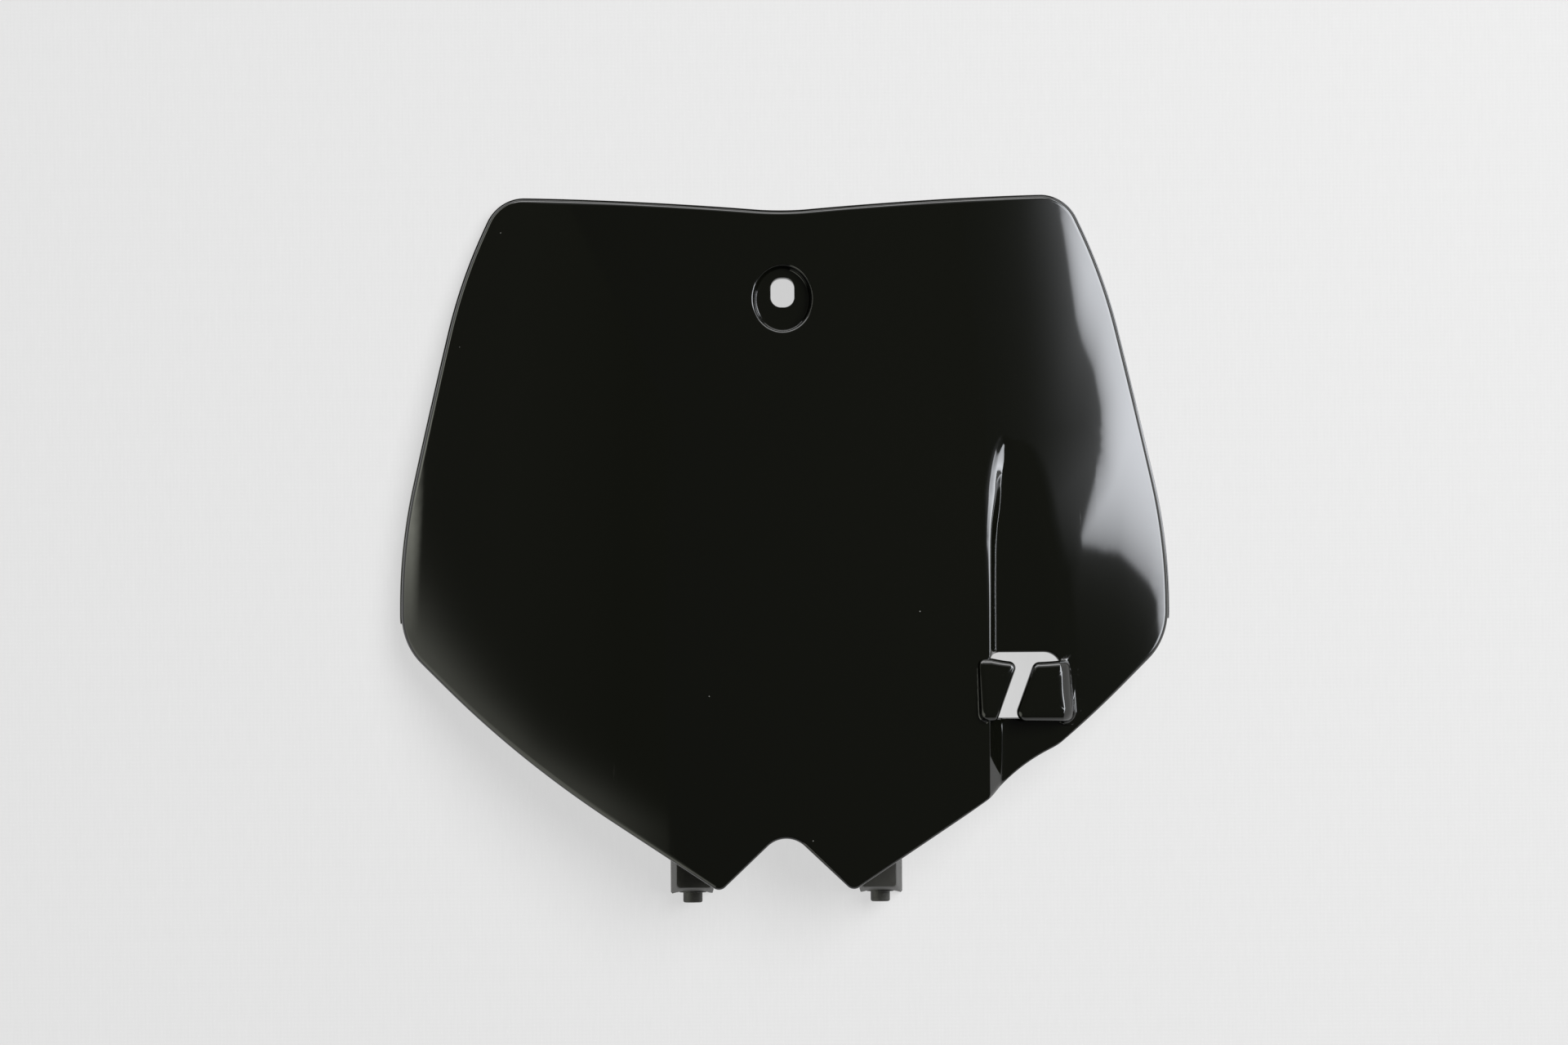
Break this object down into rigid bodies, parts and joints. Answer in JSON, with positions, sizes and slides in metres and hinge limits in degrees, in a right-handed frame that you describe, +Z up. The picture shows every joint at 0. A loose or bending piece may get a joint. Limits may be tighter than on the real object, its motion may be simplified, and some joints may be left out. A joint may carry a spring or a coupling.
{
  "type": "motocross front number plate",
  "caption": "Gloss black moulded shield-shaped front number plate with a bolt recess, a hose channel with a split clip, and pegged lugs behind its lower tips.",
  "frame": {"origin": "middle of the plate's footprint, at the bench it lies on with its face up", "axes": "+X across the plate, +Y towards its top edge, +Z up, out of its face"},
  "size_m": [0.2594, 0.238, 0.0487],
  "materials": {
    "black_plastic": "moulded high gloss"
  },
  "bodies": {
    "root": {"number_board": "black_plastic"}
  },
  "joints": []
}
